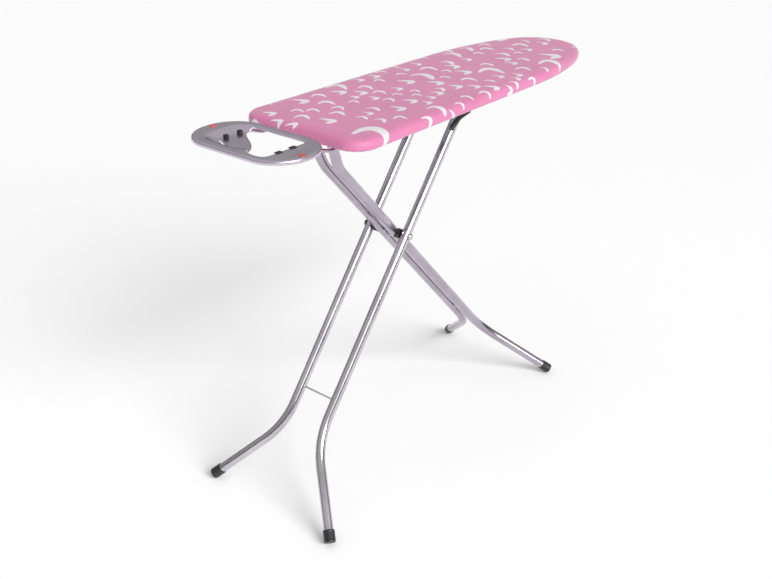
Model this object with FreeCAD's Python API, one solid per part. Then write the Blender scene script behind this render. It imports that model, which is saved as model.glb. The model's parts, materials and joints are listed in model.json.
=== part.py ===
import FreeCAD, Part
import math
import os

# Folding ironing board: padded top, iron rest at one end, scissor legs.
# Millimetres, +Z up, floor at z = 0. +X runs from the iron rest to the nose,
# the board is symmetric about y = 0, and x = 0 is half way along the object.

Vector = FreeCAD.Vector
Z_AXIS = Vector(0, 0, 1)
Y_AXIS = Vector(0, 1, 0)

# ---- driving dimensions: the top -------------------------------------------
BOARD_LENGTH = 1100.0
TRAY_REACH = 200.0            # how far the iron rest stands out past the board
TOP_Z = 970.0
HALF_WIDTH = 184.8            # at the iron end, narrowing slowly to the nose
CORNER_R = 55.0
NOSE_RADII = (126.5, 491.0, 937.0)      # tip, shoulder and flank of the nose
NOSE_ANGLES = (63.2, 75.9, 89.49)       # where each nose arc ends, from +X

SHEET_EDGE = 26.0             # height of the padded edge
COVER_T = 1.0
COVER_ROUND = 15.0            # the cover's soft upper edge
COVER_UNDER_ROUND = 6.0
PAD_T = 8.8
PAD_GAP = 0.3                 # cover to pad
PLATE_T = 0.8
PLATE_INSET = 3.0
VENT_R = 6.0
VENT_STEP = (50.0, 42.0)
VENT_ROWS = 15 * (3,) + 3 * (2,) + 2 * (1,)       # rows each side of the middle, per column
RIM_W = 13.0
RIM_INSET = 2.5
CHANNEL_T = 1.2               # sheet of the rim and cross straps
WELD_GAP = 0.2                # between the rim's sections
HEM_W = 17.0
BOARD_BOTTOM = TOP_Z - SHEET_EDGE
PLATE_Z = TOP_Z - COVER_T - PAD_T - 0.2 - PLATE_T    # underside of the vented plate
STRAP_BOTTOM = BOARD_BOTTOM - 0.5
STRAP_W = 24.0
STRAP_GAP = 3.0               # strap end to the cover's hem
NOSE_STRAP_CUT = 20.0         # the strap nearest the nose is shorter at each end

TOTAL_LENGTH = BOARD_LENGTH + TRAY_REACH
X_TRAY = -TOTAL_LENGTH / 2
X_END = X_TRAY + TRAY_REACH   # iron end of the padded board
X_NOSE = TOTAL_LENGTH / 2
RIM_JOINTS = (X_END + CORNER_R + 5, -110.0, 100.0, 255.0, 335.0, 412.0)

# ---- driving dimensions: legs ----------------------------------------------
TUBE_R = 12.5
TUBE_WALL = 1.2
OUTER_Y = 58.5                # half spacing of the outer leg's tubes
INNER_Y = 23.6                # half spacing of the inner leg's tubes
INNER_HEAD_Y = 30.0           # the inner tubes spread a little at the hinge
SCISSOR_ARM = 389.4           # scissor pivot to hinge, and pivot to crossbar
OUTER_LEAN = math.radians(37.58)        # from vertical, also hinge to pivot
INNER_LEAN = math.radians(42.1)
HINGE_Z = 926.0
PIVOT_X = -132.3
OUTER_KNEE = 567.0            # pivot to knee along each leg
INNER_KNEE = 600.0
INNER_NECK = 310.0            # pivot to the bend below the hinge
KNEE_R = 200.0
NECK_R = 110.0
OUTER_FOOT_DIR = Vector(-0.492, 0.602, -0.628)
INNER_FOOT_DIR = Vector(0.540, 0.613, -0.577)
FOOT_CAP_R = 14.5
FOOT_CAP_L = 30.0
FOOT_CAP_END = 3.0
FOOT_CAP_ROUND = 2.0

ARM_X = SCISSOR_ARM * math.sin(OUTER_LEAN)
HINGE_X = PIVOT_X - ARM_X
CROSSBAR_X = PIVOT_X + ARM_X
PIVOT_Z = HINGE_Z - SCISSOR_ARM * math.cos(OUTER_LEAN)

# ---- driving dimensions: fittings ------------------------------------------
RUNNING_GAP = 0.06            # radial clearance of every turning fit
AXLE_R = 6.0
HEAD_R = 13.0
HEAD_WALL = 1.5
HEAD_HALF = 46.0
EAR_Y = 49.0                  # inner face of the hinge bracket's ears
EAR_T = 2.0
EAR_R = 14.0
BRACKET_HALF = 40.0
AXLE_END = 6.0                # axle beyond the ears
CLIP_T = 1.5                  # clips and washers
BUSH_SLEEVE = 22.0
BUSH_FLANGE = 2.5
BOLT_R = 4.0
BOLT_HEAD_R = 8.0
BOLT_HEAD_T = 4.0
NUT_R = 7.5
NUT_T = 5.5
CROSSBAR_R = 5.0
CROSSBAR_END = 4.0
SIDE_GAP = 0.4                # washers, clips and bushes clear of the tubes
PLUG_T = 2.0
WIRE_R = 2.5
WIRE_ABOVE_KNEE = 112.0
SPACER_R = 6.0
SPACER_PLACES = (-26.0, -478.0)         # along the inner leg from the pivot
BUSH_R = 13.0
OUTER_TOP = 8.0               # outer tube runs on past the crossbar's axis
RACK_X0 = 80.0
RACK_X1 = 430.0
RACK_Y = 9.0
RACK_T = 1.5
RACK_LEDGE = 7.0              # channel below the slot
SLOT_GAP = 1.0                # crossbar in the slot
NOTCH_RISE = 3.0
RACK_NOTCHES = 8
NOTCH_STEP = 40.0
LEVER_X = 190.0
LEVER_Z = 949.0
LEVER_R = 3.0
LEVER_ARM_Y = -112.0
LEVER_TAIL_Y = 22.0
LEVER_BENDS = (40.0, 60.0, 12.0)
GRIP_R = 6.5
GRIP_LINE = ((-22.0, 885.5), (8.0, 904.5), (48.0, 912.5))     # x, z of the grip's end and bends
GRIP_CAP = 4.0                # grip beyond the rod's end
PAWL_Y = -20.0
PAWL_T = 4.0
PAWL_LIFT = 1.5               # tooth clear of the crossbar
PAWL_BOSS_R = 6.5
LEVER_EAR_Y = (-96.0, 14.0)
LEVER_EAR_HALF = 12.0
SPRING_COILS = 8
SPRING_PITCH = 2.2
SPRING_R = 4.6
SPRING_WIRE_R = 1.0
SPRING_Y = -84.0

TRAY_Z = TOP_Z - 2.0
TRAY_T = 1.5
TRAY_GAP = 25.0               # between the tray and the padded board
TRAY_Y = (-150.0, 168.0)      # the tray reaches a little further at the far side
TRAY_CORNER_R = 84.0
TRAY_FLANGE = 9.5
TRAY_LIP = 6.0                # turned-down edge of the opening
TRAY_DISH = 8.0
DISH_TOP = (X_END - 176, X_END - 50, -24.0, 128.0, 38.0)      # x0, x1, y0, y1, corner radius
DISH_FLOOR = (X_END - 168, X_END - 54, -17.0, 90.0, 26.0)
OPENING_IN = 49.0             # opening's straight edge, from the padded board
OPENING_OUT = 179.0
OPENING_NEAR_Y = -84.0
OPENING_FAR_Y = 82.0
OPENING_CORNER_R = 16.0
PAD_SIZE = (9.0, 9.0, 8.5)    # blocks on the floor of the dish
PAD_Y = 83.0
CLIP_SIZE = (16.0, 10.5, 1.8)
CLIP_Y = -86.8
SLIT_SIZE = (4.0, 42.0)
SLIT_TURN = -24.0             # degrees from Y
SLIT_PLACE = Vector(X_END - 156, 66, 0)
STUD_R = 8.0
STUD_H = 1.2
TRAY_ROD_R = 4.0
TRAY_ROD_Y = 104.0


# ---- helpers ---------------------------------------------------------------
def polar(centre, radius, angle):
    return Vector(centre.x + radius * math.cos(angle), centre.y + radius * math.sin(angle), 0)


def mirror_y(shape):
    return shape.mirror(Vector(0, 0, 0), Y_AXIS)


def prism(wire, z0, z1):
    face = Part.Face(wire)
    face.translate(Vector(0, 0, z0))
    return face.extrude(Vector(0, 0, z1 - z0))


def box(x0, x1, y0, y1, z0, z1):
    return Part.makeBox(x1 - x0, y1 - y0, z1 - z0, Vector(x0, y0, z0))


def rod_y(radius, x, z, y0, y1):
    return Part.makeCylinder(radius, y1 - y0, Vector(x, y0, z), Y_AXIS)


def ring_y(outer, inner, x, z, y0, y1):
    return rod_y(outer, x, z, y0, y1).cut(rod_y(inner, x, z, y0 - 1, y1 + 1))


def arc_chain(arcs):
    """Closed wire from arcs (centre, radius, start, end); gaps become lines."""
    edges = []
    last = None
    first = None
    for centre, radius, a0, a1 in arcs:
        p0 = polar(centre, radius, a0)
        p1 = polar(centre, radius, a1)
        middle = polar(centre, radius, (a0 + a1) / 2)
        if last is None:
            first = p0
        elif last.distanceToPoint(p0) > 1e-4:
            edges.append(Part.makeLine(last, p0))
        edges.append(Part.Arc(p0, middle, p1).toShape())
        last = p1
    if last.distanceToPoint(first) > 1e-4:
        edges.append(Part.makeLine(last, first))
    return Part.Wire(edges)


def rounded_rectangle(x0, x1, y0, y1, radius):
    corners = ((x1, y1, 0), (x0, y1, 90), (x0, y0, 180), (x1, y0, 270))
    arcs = []
    for x, y, start in corners:
        cx = x - radius if x == x1 else x + radius
        cy = y - radius if y == y1 else y + radius
        a0 = math.radians(start)
        arcs.append((Vector(cx, cy, 0), radius, a0, a0 + math.pi / 2))
    return arc_chain(arcs)


def unit(vector):
    return Vector(vector).normalize()


def bent_path(points, radii):
    """Straight runs joined by tangent arcs, one radius per inner point."""
    edges = []
    start = points[0]
    for i, radius in enumerate(radii, start=1):
        before = (points[i] - points[i - 1]).normalize()
        after = (points[i + 1] - points[i]).normalize()
        half_turn = before.getAngle(after) / 2
        reach = radius * math.tan(half_turn)
        inward = (after - before).normalize()
        centre = points[i] + inward * (radius / math.cos(half_turn))
        arc_in = points[i] - before * reach
        arc_out = points[i] + after * reach
        edges.append(Part.makeLine(start, arc_in))
        edges.append(Part.Arc(arc_in, centre - inward * radius, arc_out).toShape())
        start = arc_out
    edges.append(Part.makeLine(start, points[-1]))
    return Part.Wire(edges)


def bent_rod(points, radii, radius):
    direction = points[1] - points[0]
    profile = Part.Wire(Part.makeCircle(radius, points[0], direction))
    return bent_path(points, radii).makePipeShell([profile], True, False)


def bent_tube(points, radii, radius, wall):
    return bent_rod(points, radii, radius).cut(bent_rod(points, radii, radius - wall))


def both_sides(shape):
    return Part.makeCompound([shape, mirror_y(shape)])


# ---- outlines --------------------------------------------------------------
def board_outline(inset):
    """The board from above, drawn in by inset: three nose arcs and two corners."""
    psi = math.radians(NOSE_ANGLES[2])
    phi_tip = math.radians(NOSE_ANGLES[0])
    phi_mid = math.radians(NOSE_ANGLES[1])
    tip_r, mid_r, flank_r = NOSE_RADII
    tip_c = Vector(X_NOSE - tip_r, 0, 0)
    mid_c = polar(tip_c, tip_r - mid_r, phi_tip)
    flank_c = polar(mid_c, mid_r - flank_r, phi_mid)
    side = flank_c.x * math.cos(psi) + flank_c.y * math.sin(psi) + flank_r
    corner_x = X_END + CORNER_R
    corner_y = (side - CORNER_R - corner_x * math.cos(psi)) / math.sin(psi)
    upper = [
        (tip_c, tip_r - inset, 0, phi_tip),
        (mid_c, mid_r - inset, phi_tip, phi_mid),
        (flank_c, flank_r - inset, phi_mid, psi),
        (Vector(corner_x, corner_y, 0), CORNER_R - inset, psi, math.pi),
    ]
    lower = [(Vector(c.x, -c.y, 0), r, -a1, -a0) for c, r, a0, a1 in reversed(upper)]
    return arc_chain(upper + lower)


def board_half_width(x):
    """Half width of the straight flank at x."""
    slope = math.tan(math.radians(90 - NOSE_ANGLES[2]))
    return HALF_WIDTH - slope * (x - X_END - CORNER_R)


def tray_outline(inset):
    return rounded_rectangle(X_TRAY + inset, X_END - TRAY_GAP - inset, TRAY_Y[0] + inset,
                             TRAY_Y[1] - inset, TRAY_CORNER_R - inset)


def tray_opening(grow):
    """Opening of the iron rest: straight beside the board, S-curved beside the dish."""
    x_in = X_END - OPENING_IN + grow
    x_out = X_END - OPENING_OUT - grow
    y_near = OPENING_NEAR_Y - grow
    y_far = OPENING_FAR_Y + grow
    radius = OPENING_CORNER_R
    corner_in = Vector(x_in - radius, y_near + radius, 0)
    corner_out = Vector(x_out + radius, y_near + radius, 0)
    quarter = math.pi / 2
    near_arcs = [
        Part.Arc(polar(corner_out, radius, 2 * quarter), polar(corner_out, radius, 2.5 * quarter),
                 polar(corner_out, radius, 3 * quarter)).toShape(),
        Part.Arc(polar(corner_in, radius, 3 * quarter), polar(corner_in, radius, 3.5 * quarter),
                 polar(corner_in, radius, 4 * quarter)).toShape(),
    ]
    out_away = grow * math.cos(math.pi / 4)
    s_points = [Vector(x_in - 23, y_far, 0)]
    for x, y in ((-88, 64), (-106, 37), (-126, 9), (-146, -9), (-170, -23)):
        s_points.append(Vector(X_END + x - out_away, y + out_away, 0))
    s_points.append(Vector(x_out, -50, 0))
    s_curve = Part.BSplineCurve()
    s_curve.interpolate(Points=s_points, InitialTangent=Vector(-1, 0, 0), FinalTangent=Vector(0, -1, 0))
    cut_corner = 6.0
    return Part.Wire([
        s_curve.toShape(),
        Part.makeLine(s_points[-1], polar(corner_out, radius, 2 * quarter)),
        near_arcs[0],
        Part.makeLine(polar(corner_out, radius, 3 * quarter), polar(corner_in, radius, 3 * quarter)),
        near_arcs[1],
        Part.makeLine(polar(corner_in, radius, 4 * quarter), Vector(x_in, y_far - cut_corner, 0)),
        Part.makeLine(Vector(x_in, y_far - cut_corner, 0), Vector(x_in - cut_corner, y_far, 0)),
        Part.makeLine(Vector(x_in - cut_corner, y_far, 0), s_points[0]),
    ])


# ---- padded top ------------------------------------------------------------
def edges_at(shape, z):
    found = []
    for edge in shape.Edges:
        if abs(edge.BoundBox.ZMin - z) < 1e-3 and abs(edge.BoundBox.ZMax - z) < 1e-3:
            found.append(edge)
    return found


def cushion(inset, z0, z1, top_round, bottom_round):
    """A board-shaped slab with its top and bottom edges rounded."""
    slab = prism(board_outline(inset), z0, z1)
    slab = slab.makeFillet(top_round, edges_at(slab, z1))
    if bottom_round:
        slab = slab.makeFillet(bottom_round, edges_at(slab, z0))
    return slab


def make_cover():
    outside = cushion(0, BOARD_BOTTOM, TOP_Z, COVER_ROUND, COVER_UNDER_ROUND)
    inside = cushion(COVER_T, BOARD_BOTTOM + COVER_T, TOP_Z - COVER_T, COVER_ROUND - COVER_T,
                     COVER_UNDER_ROUND - COVER_T)
    mouth = prism(board_outline(COVER_T + HEM_W), BOARD_BOTTOM - 1, BOARD_BOTTOM + 2)
    return outside.cut(inside).cut(mouth)


def make_pad():
    """Foam under the cover: the upper slice of a cushion that follows the cover's round."""
    inset = COVER_T + PAD_GAP
    z0 = PLATE_Z + PLATE_T
    whole = cushion(inset, BOARD_BOTTOM, z0 + PAD_T, COVER_ROUND - inset, 0)
    return whole.common(box(X_END, X_NOSE, -HALF_WIDTH, HALF_WIDTH, z0, TOP_Z))


def make_plate():
    """Vented sheet under the pad, with rows of steam holes."""
    plate = prism(board_outline(PLATE_INSET), PLATE_Z, PLATE_Z + PLATE_T)
    holes = []
    for column, rows in enumerate(VENT_ROWS, start=1):
        for row in range(-rows, rows + 1):
            place = Vector(X_END + column * VENT_STEP[0], row * VENT_STEP[1], PLATE_Z - 1)
            holes.append(Part.makeCylinder(VENT_R, PLATE_T + 2, place))
    return plate.cut(Part.makeCompound(holes))


def make_rim():
    """Channel round the whole edge, open downwards: rear bend, two straight rails, nose bend."""
    low = BOARD_BOTTOM + COVER_T + RIM_INSET
    outer = prism(board_outline(RIM_INSET), low, PLATE_Z)
    inner = prism(board_outline(RIM_INSET + RIM_W), low - 1, PLATE_Z + 1)
    hollow = prism(board_outline(RIM_INSET + CHANNEL_T), low - 1, PLATE_Z - CHANNEL_T)
    core = prism(board_outline(RIM_INSET + RIM_W - CHANNEL_T), low - 2, PLATE_Z + 1)
    ring = outer.cut(inner).cut(hollow.cut(core))
    sections = []
    for x0, x1 in zip((X_END, *RIM_JOINTS), (*RIM_JOINTS, X_NOSE)):
        slab = box(x0 + WELD_GAP / 2, x1 - WELD_GAP / 2, -HALF_WIDTH, HALF_WIDTH, low, PLATE_Z)
        sections += ring.common(slab).Solids
    return Part.makeCompound(sections)


def strap_positions():
    """Cross straps: two carry the hinge, one is a brace, two carry the rack."""
    return (HINGE_X - 28, HINGE_X + 28, -120.0, RACK_X0 + 6, RACK_X1 - 8)


def make_straps():
    """Channels welded across under the plate, open upwards."""
    straps = []
    half = STRAP_W / 2
    for x in strap_positions():
        reach = board_half_width(x) - COVER_T - HEM_W - STRAP_GAP
        if x > LEVER_X:
            reach -= NOSE_STRAP_CUT
        strap = box(x - half, x + half, -reach, reach, STRAP_BOTTOM, PLATE_Z)
        hollow = box(x - half + CHANNEL_T, x + half - CHANNEL_T, -reach - 1, reach + 1,
                     STRAP_BOTTOM + CHANNEL_T, PLATE_Z + 1)
        straps.append(strap.cut(hollow))
    return Part.makeCompound(straps)


# ---- hinge of the inner leg ------------------------------------------------
def make_hinge_bracket():
    """U bracket under two straps, its ears drilled for the axle."""
    outer_y = EAR_Y + EAR_T
    base = box(HINGE_X - BRACKET_HALF, HINGE_X + BRACKET_HALF, -outer_y, outer_y,
               STRAP_BOTTOM - EAR_T, STRAP_BOTTOM)
    ear = rod_y(EAR_R, HINGE_X, HINGE_Z, EAR_Y, outer_y)
    ear = ear.fuse(box(HINGE_X - EAR_R, HINGE_X + EAR_R, EAR_Y, outer_y, HINGE_Z, STRAP_BOTTOM - EAR_T / 2))
    bracket = base.fuse([ear, mirror_y(ear)]).removeSplitter()
    return bracket.cut(rod_y(AXLE_R, HINGE_X, HINGE_Z, -outer_y - 1, outer_y + 1))


def make_hinge_axle():
    half = EAR_Y + EAR_T + AXLE_END
    axle = rod_y(AXLE_R, HINGE_X, HINGE_Z, -half, half)
    return axle.makeChamfer(1, [e for e in axle.Edges if e.Closed])


def make_axle_clips():
    y0 = EAR_Y + EAR_T
    return both_sides(ring_y(AXLE_R + 4, AXLE_R, HINGE_X, HINGE_Z, y0, y0 + CLIP_T))


def make_head_tube():
    return ring_y(HEAD_R, HEAD_R - HEAD_WALL, HINGE_X, HINGE_Z, -HEAD_HALF, HEAD_HALF)


def make_head_bushes():
    """Flanged plastic bushes pressed into both ends of the head tube."""
    bore = AXLE_R + RUNNING_GAP
    sleeve = ring_y(HEAD_R - HEAD_WALL, bore, HINGE_X, HINGE_Z, HEAD_HALF - BUSH_SLEEVE, HEAD_HALF)
    flange = ring_y(HEAD_R, bore, HINGE_X, HINGE_Z, HEAD_HALF, HEAD_HALF + BUSH_FLANGE)
    return both_sides(sleeve.fuse(flange).removeSplitter())


# ---- legs ------------------------------------------------------------------
def on_leg(lean, distance, y):
    """Point on a leg's straight run: distance from the pivot, positive upwards, lean to +X."""
    return Vector(PIVOT_X + distance * math.sin(lean), y, PIVOT_Z + distance * math.cos(lean))


def foot_end(knee, direction):
    """End of the foot cap, placed so that its rounded edge just meets the floor."""
    drop = abs(direction.z)
    across = math.sqrt(1 - drop * drop)
    end_z = (FOOT_CAP_R - FOOT_CAP_ROUND) * across + FOOT_CAP_ROUND * (1 - drop)
    return knee + direction * ((knee.z - end_z) / drop)


def outer_knee():
    return on_leg(OUTER_LEAN, -OUTER_KNEE, OUTER_Y)


def inner_knee():
    return on_leg(-INNER_LEAN, -INNER_KNEE, INNER_Y)


def make_outer_tube():
    direction = unit(OUTER_FOOT_DIR)
    knee = outer_knee()
    top = on_leg(OUTER_LEAN, SCISSOR_ARM + OUTER_TOP, OUTER_Y)
    foot = foot_end(knee, direction) - direction * FOOT_CAP_END
    tube = bent_tube([top, knee, foot], [KNEE_R], TUBE_R, TUBE_WALL)
    side = (OUTER_Y - TUBE_R - 5, OUTER_Y + TUBE_R + 5)
    tube = tube.cut(rod_y(BOLT_R + RUNNING_GAP, PIVOT_X, PIVOT_Z, *side))
    return tube.cut(rod_y(CROSSBAR_R, CROSSBAR_X, HINGE_Z, *side))


def make_inner_tube():
    direction = unit(INNER_FOOT_DIR)
    knee = inner_knee()
    head = Vector(HINGE_X, INNER_HEAD_Y, HINGE_Z)
    neck = on_leg(-INNER_LEAN, INNER_NECK, INNER_Y)
    foot = foot_end(knee, direction) - direction * FOOT_CAP_END
    tube = bent_tube([head, neck, knee, foot], [NECK_R, KNEE_R], TUBE_R, TUBE_WALL)
    tube = tube.cut(rod_y(HEAD_R, HINGE_X, HINGE_Z, -HEAD_HALF, HEAD_HALF + 10))
    return tube.cut(rod_y(BOLT_R, PIVOT_X, PIVOT_Z, 0, INNER_Y + TUBE_R + 5))


def make_foot_cap(knee, direction):
    """Plastic cup pushed over the end of a leg tube."""
    direction = unit(direction)
    end = foot_end(knee, direction)
    start = end - direction * FOOT_CAP_L
    cap = Part.makeCylinder(FOOT_CAP_R, FOOT_CAP_L, start, direction)
    rims = [e for e in cap.Edges if e.Closed and e.CenterOfMass.distanceToPoint(end) < 1]
    cap = cap.makeFillet(FOOT_CAP_ROUND, rims)
    hollow = Part.makeCylinder(TUBE_R, FOOT_CAP_L - FOOT_CAP_END + 1, start - direction, direction)
    return cap.cut(hollow)


def make_crossbar():
    half = OUTER_Y + TUBE_R + CROSSBAR_END
    bar = rod_y(CROSSBAR_R, CROSSBAR_X, HINGE_Z, -half, half)
    return bar.makeChamfer(0.8, [e for e in bar.Edges if e.Closed])


def make_crossbar_clips():
    y0 = OUTER_Y + TUBE_R + SIDE_GAP
    return both_sides(ring_y(CROSSBAR_R + 3, CROSSBAR_R, CROSSBAR_X, HINGE_Z, y0, y0 + CLIP_T))


def make_outer_plugs():
    """Plastic plugs that close the upper ends of the outer tubes."""
    along = on_leg(OUTER_LEAN, 1, 0) - on_leg(OUTER_LEAN, 0, 0)
    top = on_leg(OUTER_LEAN, SCISSOR_ARM + OUTER_TOP, OUTER_Y)
    return both_sides(Part.makeCylinder(TUBE_R, PLUG_T, top, along))


def make_outer_wire():
    """Thin wire that keeps the outer tubes apart above the knees."""
    middle = on_leg(OUTER_LEAN, WIRE_ABOVE_KNEE - OUTER_KNEE, 0)
    half = OUTER_Y - TUBE_R
    wire = rod_y(WIRE_R, middle.x, middle.z, -half - 1, half + 1)
    for sign in (-1, 1):
        start = on_leg(OUTER_LEAN, -OUTER_KNEE, sign * OUTER_Y)
        finish = on_leg(OUTER_LEAN, 0, sign * OUTER_Y)
        wire = wire.cut(Part.makeCylinder(TUBE_R, 600, start, finish - start))
    return wire


def make_inner_spacers():
    """Two short tubes welded between the inner leg's tubes."""
    spacers = []
    for distance in SPACER_PLACES:
        centre = on_leg(-INNER_LEAN, distance, 0)
        spacer = ring_y(SPACER_R, SPACER_R - TUBE_WALL, centre.x, centre.z, -INNER_Y, INNER_Y)
        for sign in (-1, 1):
            start = on_leg(-INNER_LEAN, -INNER_KNEE, sign * INNER_Y)
            finish = on_leg(-INNER_LEAN, 0, sign * INNER_Y)
            spacer = spacer.cut(Part.makeCylinder(TUBE_R, 700, start, finish - start))
        spacers.append(spacer)
    return Part.makeCompound(spacers)


# ---- scissor pivot ---------------------------------------------------------
def make_pivot_bolts():
    """Headed bolts through outer tube, bush and inner tube on each side."""
    inner_end = INNER_Y - TUBE_R - NUT_T - 1.5
    outer_end = OUTER_Y + TUBE_R + SIDE_GAP + CLIP_T
    shank = rod_y(BOLT_R, PIVOT_X, PIVOT_Z, inner_end, outer_end)
    head = rod_y(BOLT_HEAD_R, PIVOT_X, PIVOT_Z, outer_end, outer_end + BOLT_HEAD_T)
    rims = [e for e in head.Edges if e.Closed and e.CenterOfMass.y > outer_end + BOLT_HEAD_T / 2]
    head = head.makeFillet(2.5, rims)
    return both_sides(shank.fuse(head).removeSplitter())


def make_pivot_washers():
    y0 = OUTER_Y + TUBE_R + SIDE_GAP
    return both_sides(ring_y(BOLT_HEAD_R + 2, BOLT_R, PIVOT_X, PIVOT_Z, y0, y0 + CLIP_T))


def make_pivot_bushes():
    """Plastic spacers, saddled on the inner tubes, that hold the legs apart."""
    y1 = OUTER_Y - TUBE_R - SIDE_GAP
    bush = ring_y(BUSH_R, BOLT_R, PIVOT_X, PIVOT_Z, INNER_Y + 4, y1)
    start = on_leg(-INNER_LEAN, -60, INNER_Y)
    finish = on_leg(-INNER_LEAN, 60, INNER_Y)
    return both_sides(bush.cut(Part.makeCylinder(TUBE_R, 120, start, finish - start)))


def make_pivot_nuts():
    y1 = INNER_Y - TUBE_R
    corners = []
    for turn in range(0, 361, 60):
        angle = math.radians(turn)
        corners.append(Vector(PIVOT_X + NUT_R * math.cos(angle), y1, PIVOT_Z + NUT_R * math.sin(angle)))
    nut = Part.Face(Part.makePolygon(corners)).extrude(Vector(0, -NUT_T, 0))
    return both_sides(nut.cut(rod_y(BOLT_R, PIVOT_X, PIVOT_Z, y1 - NUT_T - 1, y1 + 1)))


# ---- height adjustment -----------------------------------------------------
def make_rack():
    """Channel that guides the crossbar, its slot notched along the upper edge."""
    slot_r = CROSSBAR_R + SLOT_GAP
    slot_low = HINGE_Z - slot_r
    rack_low = slot_low - RACK_LEDGE
    channel = box(RACK_X0, RACK_X1, -RACK_Y, RACK_Y, rack_low, STRAP_BOTTOM)
    hollow_y = RACK_Y - RACK_T
    channel = channel.cut(box(RACK_X0 - 1, RACK_X1 + 1, -hollow_y, hollow_y, rack_low - 1,
                              STRAP_BOTTOM - RACK_T))
    cutters = [box(CROSSBAR_X - slot_r, RACK_X1 - 10, -RACK_Y - 1, RACK_Y + 1, slot_low, HINGE_Z + slot_r)]
    for i in range(RACK_NOTCHES):
        x = CROSSBAR_X + i * NOTCH_STEP
        cutters.append(rod_y(slot_r, x, HINGE_Z + NOTCH_RISE, -RACK_Y - 1, RACK_Y + 1))
    return channel.cut(cutters)


def lever_path(tail):
    """Grip end, along the near side of the board, then across under it to y = tail."""
    points = [Vector(x, LEVER_ARM_Y, z) for x, z in GRIP_LINE]
    return points + [Vector(LEVER_X, LEVER_ARM_Y, LEVER_Z), Vector(LEVER_X, tail, LEVER_Z)]


def make_lever_rod():
    return bent_rod(lever_path(LEVER_TAIL_Y), LEVER_BENDS, LEVER_R)


def make_lever_grip():
    """Plastic grip moulded over the curved end of the lever."""
    start, middle, end = lever_path(0)[:3]
    cap = unit(middle - start) * GRIP_CAP
    outer = bent_rod([start - cap, middle, end], LEVER_BENDS[:1], GRIP_R)
    return outer.cut(bent_rod([start, middle, end], LEVER_BENDS[:1], LEVER_R))


def make_lever_pawl():
    """Hooked plate on the lever, held just clear of the crossbar's path."""
    tooth_z = HINGE_Z + CROSSBAR_R + PAWL_LIFT
    side = Part.makePolygon([
        Vector(LEVER_X - 2, PAWL_Y, LEVER_Z + 5),
        Vector(CROSSBAR_X + 16, PAWL_Y, tooth_z + 11),
        Vector(CROSSBAR_X + 9, PAWL_Y, tooth_z),
        Vector(CROSSBAR_X + 24, PAWL_Y, tooth_z),
        Vector(LEVER_X - 2, PAWL_Y, LEVER_Z - 6),
        Vector(LEVER_X - 2, PAWL_Y, LEVER_Z + 5),
    ])
    plate = Part.Face(side).extrude(Vector(0, PAWL_T, 0))
    boss = rod_y(PAWL_BOSS_R, LEVER_X, LEVER_Z, PAWL_Y, PAWL_Y + PAWL_T)
    bore = rod_y(LEVER_R, LEVER_X, LEVER_Z, PAWL_Y - 1, PAWL_Y + PAWL_T + 1)
    return plate.fuse(boss).removeSplitter().cut(bore)


def lever_ear(y0):
    x0 = LEVER_X - LEVER_EAR_HALF
    x1 = LEVER_X + LEVER_EAR_HALF
    ear = box(x0, x1, y0, y0 + EAR_T, LEVER_Z - 4, PLATE_Z)
    tongue = rod_y(7, LEVER_X, LEVER_Z, y0, y0 + EAR_T)
    foot = box(x0, x1, y0 + EAR_T, y0 + 14, PLATE_Z - EAR_T, PLATE_Z)
    ear = ear.fuse([tongue, foot]).removeSplitter()
    return ear.cut(rod_y(LEVER_R + RUNNING_GAP, LEVER_X, LEVER_Z, y0 - 1, y0 + EAR_T + 1))


def make_lever_ears():
    return Part.makeCompound([lever_ear(y) for y in LEVER_EAR_Y])


def make_lever_spring():
    """Close coils of the return spring around the lever's cross rod."""
    coils = []
    for i in range(SPRING_COILS):
        centre = Vector(LEVER_X, SPRING_Y + i * SPRING_PITCH, LEVER_Z)
        coils.append(Part.makeTorus(SPRING_R, SPRING_WIRE_R, centre, Y_AXIS))
    return Part.makeCompound(coils)


# ---- iron rest -------------------------------------------------------------
def dish_solid(grow, floor_z):
    """Tapered space of the dish, from the tray's top down to floor_z, grown sideways."""
    wires = []
    for (x0, x1, y0, y1, radius), z in ((DISH_TOP, TRAY_Z), (DISH_FLOOR, floor_z)):
        wire = rounded_rectangle(x0 - grow, x1 + grow, y0 - grow, y1 + grow, radius + grow)
        wire.translate(Vector(0, 0, z))
        wires.append(wire)
    return Part.makeLoft(wires, True, True)


def make_tray():
    """Pressed sheet tray: rolled edge, lipped opening, sunken dish at the far side."""
    outer = prism(tray_outline(0), TRAY_Z - TRAY_FLANGE, TRAY_Z)
    outer = outer.makeFillet(4, edges_at(outer, TRAY_Z))
    inner = prism(tray_outline(TRAY_T), TRAY_Z - TRAY_FLANGE - 1, TRAY_Z - TRAY_T)
    inner = inner.makeFillet(3, edges_at(inner, TRAY_Z - TRAY_T))
    opening = prism(tray_opening(0), TRAY_Z - 30, TRAY_Z + 10)
    lip = prism(tray_opening(TRAY_T), TRAY_Z - TRAY_LIP, TRAY_Z - 0.5)
    floor_z = TRAY_Z - TRAY_DISH
    x0, x1, y0, y1, radius = DISH_TOP
    above = prism(rounded_rectangle(x0, x1, y0, y1, radius), TRAY_Z, TRAY_Z + 10)
    shell = outer.cut(inner).fuse([lip, dish_solid(TRAY_T, floor_z - TRAY_T)])
    shell = shell.cut(dish_solid(0, floor_z)).cut([above, opening])
    slit = box(-SLIT_SIZE[0] / 2, SLIT_SIZE[0] / 2, -SLIT_SIZE[1] / 2, SLIT_SIZE[1] / 2,
               floor_z - 5, floor_z + 5)
    slit.rotate(Vector(0, 0, 0), Z_AXIS, SLIT_TURN)
    slit.translate(SLIT_PLACE)
    return shell.cut(slit).removeSplitter()


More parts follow.
